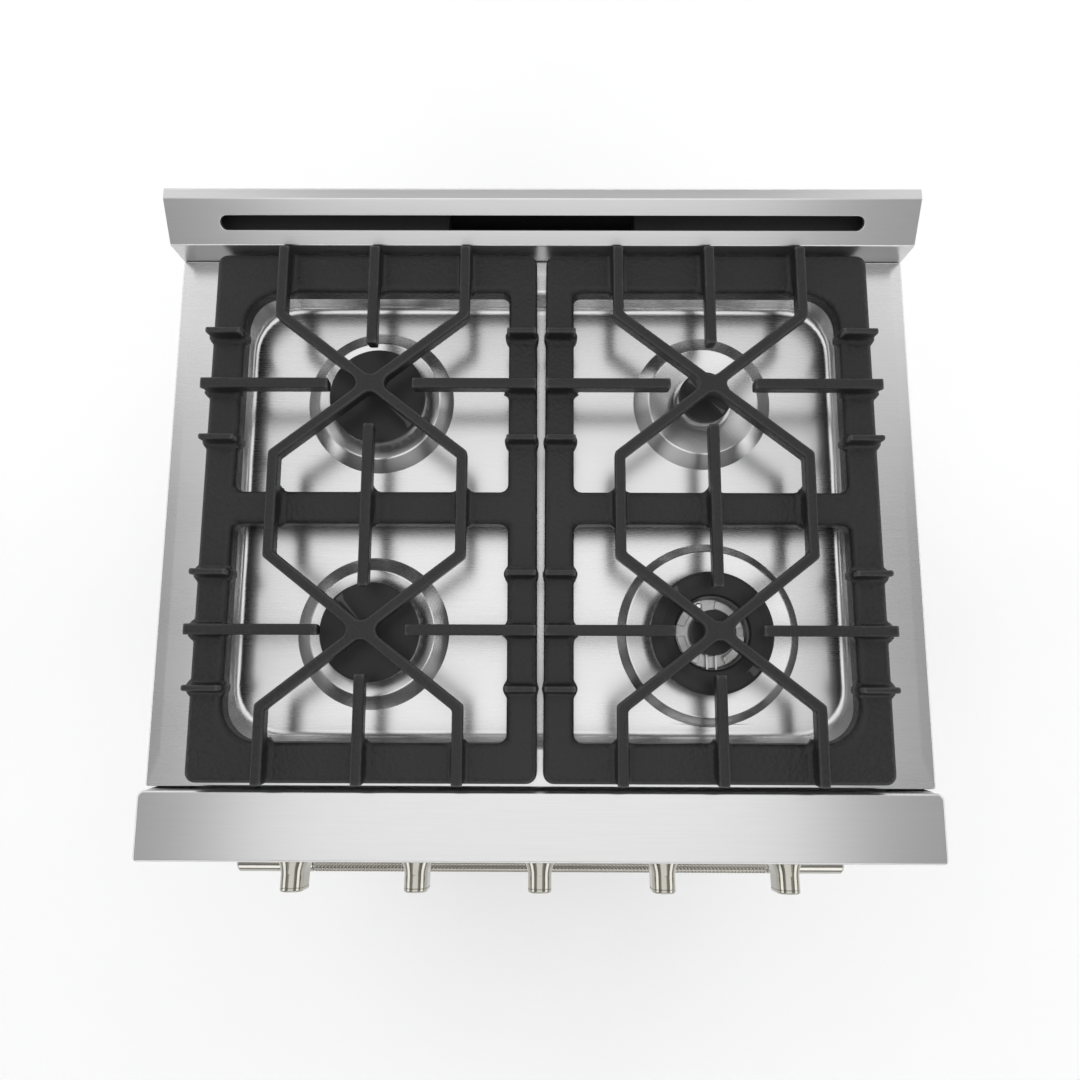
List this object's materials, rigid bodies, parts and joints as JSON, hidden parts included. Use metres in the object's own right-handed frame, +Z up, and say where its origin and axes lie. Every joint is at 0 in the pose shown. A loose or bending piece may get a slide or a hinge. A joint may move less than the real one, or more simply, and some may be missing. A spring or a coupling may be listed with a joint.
{
  "type": "freestanding gas range",
  "caption": "Freestanding gas range with two cast-iron grates, sealed burners, control knobs, slotted back guard and an oven with a drop-down door.",
  "frame": {"origin": "on the floor, under the middle of the whole range's bounding box", "axes": "+Z up, front (knobs and door) towards -Y, +X to the right seen from the front"},
  "size_m": [0.762, 0.6936, 0.9282],
  "materials": {
    "stainless_panel": "brushed, grain left to right",
    "stainless_cooktop": "fine brushed, pressed",
    "stainless_leg": "turned, satin",
    "galvanised_steel": "zinc-coated sheet",
    "dark_steel": "heat-resisting black",
    "grate_enamel": "matte black enamel on casting grain",
    "cap_enamel": "matte black enamel",
    "burner_aluminium": "die-cast, satin",
    "igniter_ceramic": "glazed ceramic",
    "knob_nickel": "polished nickel plate",
    "handle_nickel": "polished, knurled in the middle",
    "stem_brass": "machined",
    "valve_aluminium": "die-cast",
    "oven_enamel": "glossy dark porcelain enamel with fine flecks",
    "rack_chrome": "plated wire",
    "oven_glass": "tinted heat-reflecting glass",
    "gasket_braid": "braided glass fibre"
  },
  "bodies": {
    "chassis": {"side_panel_right": "stainless_panel", "side_panel_left": "stainless_panel", "kick_plate": "stainless_panel", "back_guard": "stainless_panel", "front_ledge": "stainless_panel", "control_panel": "stainless_panel", "cooktop_tray": "stainless_cooktop", "leg_front_left": "stainless_leg", "leg_front_right": "stainless_leg", "leg_rear_left": "stainless_leg", "leg_rear_right": "stainless_leg", "rear_panel": "galvanised_steel", "base_pan": "galvanised_steel", "door_hinge_left": "galvanised_steel", "door_hinge_right": "galvanised_steel", "flue_duct": "dark_steel", "gas_manifold": "dark_steel", "broil_burner": "dark_steel", "bake_burner": "dark_steel", "burner_head_front_left": "burner_aluminium", "burner_head_rear_left": "burner_aluminium", "burner_head_rear_right": "burner_aluminium", "burner_head_front_right": "burner_aluminium", "igniter_front_left": "igniter_ceramic", "igniter_rear_left": "igniter_ceramic", "igniter_rear_right": "igniter_ceramic", "igniter_front_right": "igniter_ceramic", "gas_valve_1": "valve_aluminium", "gas_valve_2": "valve_aluminium", "gas_valve_3": "valve_aluminium", "gas_valve_4": "valve_aluminium", "gas_valve_5": "valve_aluminium", "oven_liner": "oven_enamel", "door_gasket": "gasket_braid"},
    "door": {"door_outer_panel": "stainless_panel", "door_inner_panel": "oven_enamel", "door_glass_outer": "oven_glass", "door_glass_inner": "oven_glass", "door_handle_bar": "handle_nickel", "handle_post_left": "handle_nickel", "handle_post_right": "handle_nickel"},
    "grate_left": {"grate_left": "grate_enamel"},
    "grate_right": {"grate_right": "grate_enamel"},
    "oven_rack_lower": {"oven_rack_lower": "rack_chrome"},
    "oven_rack_upper": {"oven_rack_upper": "rack_chrome"},
    "burner_cap_front_left": {"burner_cap_front_left": "cap_enamel"},
    "burner_cap_rear_left": {"burner_cap_rear_left": "cap_enamel"},
    "burner_cap_rear_right": {"burner_cap_rear_right": "cap_enamel"},
    "burner_cap_front_right_ring": {"burner_cap_front_right_ring": "cap_enamel"},
    "burner_cap_front_right_centre": {"burner_cap_front_right_centre": "cap_enamel"},
    "valve_stem_1": {"valve_stem_1": "stem_brass"},
    "knob_1": {"knob_1": "knob_nickel"},
    "valve_stem_2": {"valve_stem_2": "stem_brass"},
    "knob_2": {"knob_2": "knob_nickel"},
    "valve_stem_3": {"valve_stem_3": "stem_brass"},
    "knob_3": {"knob_3": "knob_nickel"},
    "valve_stem_4": {"valve_stem_4": "stem_brass"},
    "knob_4": {"knob_4": "knob_nickel"},
    "valve_stem_5": {"valve_stem_5": "stem_brass"},
    "knob_5": {"knob_5": "knob_nickel"}
  },
  "joints": [
    {"name": "door_swing", "type": "hinge", "parent": "chassis", "child": "door", "pos_m": [0, -0.2654, 0.198], "axis": [1, 0, 0], "range_deg": [0, 90], "stiffness_Nm_per_rad": 12, "springref_deg": -34.38},
    {"name": "knob_turn_1", "type": "hinge", "parent": "chassis", "child": "valve_stem_1", "pos_m": [-0.24, -0.2964, 0.831], "axis": [0, -0.9945, 0.1045], "range_deg": [0, 270]},
    {"name": "knob_push_1", "type": "slide", "parent": "valve_stem_1", "child": "knob_1", "axis": [0, 0.9945, -0.1045], "range_m": [0, 0.003], "stiffness_N_per_m": 1500, "springref_m": -0.002},
    {"name": "knob_turn_2", "type": "hinge", "parent": "chassis", "child": "valve_stem_2", "pos_m": [-0.12, -0.2964, 0.831], "axis": [0, -0.9945, 0.1045], "range_deg": [0, 270]},
    {"name": "knob_push_2", "type": "slide", "parent": "valve_stem_2", "child": "knob_2", "axis": [0, 0.9945, -0.1045], "range_m": [0, 0.003], "stiffness_N_per_m": 1500, "springref_m": -0.002},
    {"name": "knob_turn_3", "type": "hinge", "parent": "chassis", "child": "valve_stem_3", "pos_m": [0, -0.2964, 0.831], "axis": [0, -0.9945, 0.1045], "range_deg": [0, 270]},
    {"name": "knob_push_3", "type": "slide", "parent": "valve_stem_3", "child": "knob_3", "axis": [0, 0.9945, -0.1045], "range_m": [0, 0.003], "stiffness_N_per_m": 1500, "springref_m": -0.002},
    {"name": "knob_turn_4", "type": "hinge", "parent": "chassis", "child": "valve_stem_4", "pos_m": [0.12, -0.2964, 0.831], "axis": [0, -0.9945, 0.1045], "range_deg": [0, 270]},
    {"name": "knob_push_4", "type": "slide", "parent": "valve_stem_4", "child": "knob_4", "axis": [0, 0.9945, -0.1045], "range_m": [0, 0.003], "stiffness_N_per_m": 1500, "springref_m": -0.002},
    {"name": "knob_turn_5", "type": "hinge", "parent": "chassis", "child": "valve_stem_5", "pos_m": [0.24, -0.2964, 0.831], "axis": [0, -0.9945, 0.1045], "range_deg": [0, 270]},
    {"name": "knob_push_5", "type": "slide", "parent": "valve_stem_5", "child": "knob_5", "axis": [0, 0.9945, -0.1045], "range_m": [0, 0.003], "stiffness_N_per_m": 1500, "springref_m": -0.002},
    {"name": "grate_lift_left", "type": "slide", "parent": "chassis", "child": "grate_left", "axis": [0, 0, 1], "range_m": [0, 0.1]},
    {"name": "grate_lift_right", "type": "slide", "parent": "chassis", "child": "grate_right", "axis": [0, 0, 1], "range_m": [0, 0.1]},
    {"name": "cap_lift_front_left", "type": "slide", "parent": "chassis", "child": "burner_cap_front_left", "axis": [0, 0, 1], "range_m": [0, 0.008]},
    {"name": "cap_lift_rear_left", "type": "slide", "parent": "chassis", "child": "burner_cap_rear_left", "axis": [0, 0, 1], "range_m": [0, 0.008]},
    {"name": "cap_lift_rear_right", "type": "slide", "parent": "chassis", "child": "burner_cap_rear_right", "axis": [0, 0, 1], "range_m": [0, 0.008]},
    {"name": "cap_lift_front_right_ring", "type": "slide", "parent": "chassis", "child": "burner_cap_front_right_ring", "axis": [0, 0, 1], "range_m": [0, 0.008]},
    {"name": "cap_lift_front_right_centre", "type": "slide", "parent": "chassis", "child": "burner_cap_front_right_centre", "axis": [0, 0, 1], "range_m": [0, 0.008]},
    {"name": "rack_slide_lower", "type": "slide", "parent": "chassis", "child": "oven_rack_lower", "axis": [0, -1, 0], "range_m": [0, 0.22]},
    {"name": "rack_slide_upper", "type": "slide", "parent": "chassis", "child": "oven_rack_upper", "axis": [0, -1, 0], "range_m": [0, 0.2985]}
  ],
  "couplings": [
    {"joint": "rack_slide_lower", "follows": "door_swing", "m_per_rad": 0.14},
    {"joint": "rack_slide_upper", "follows": "door_swing", "m_per_rad": 0.19}
  ]
}
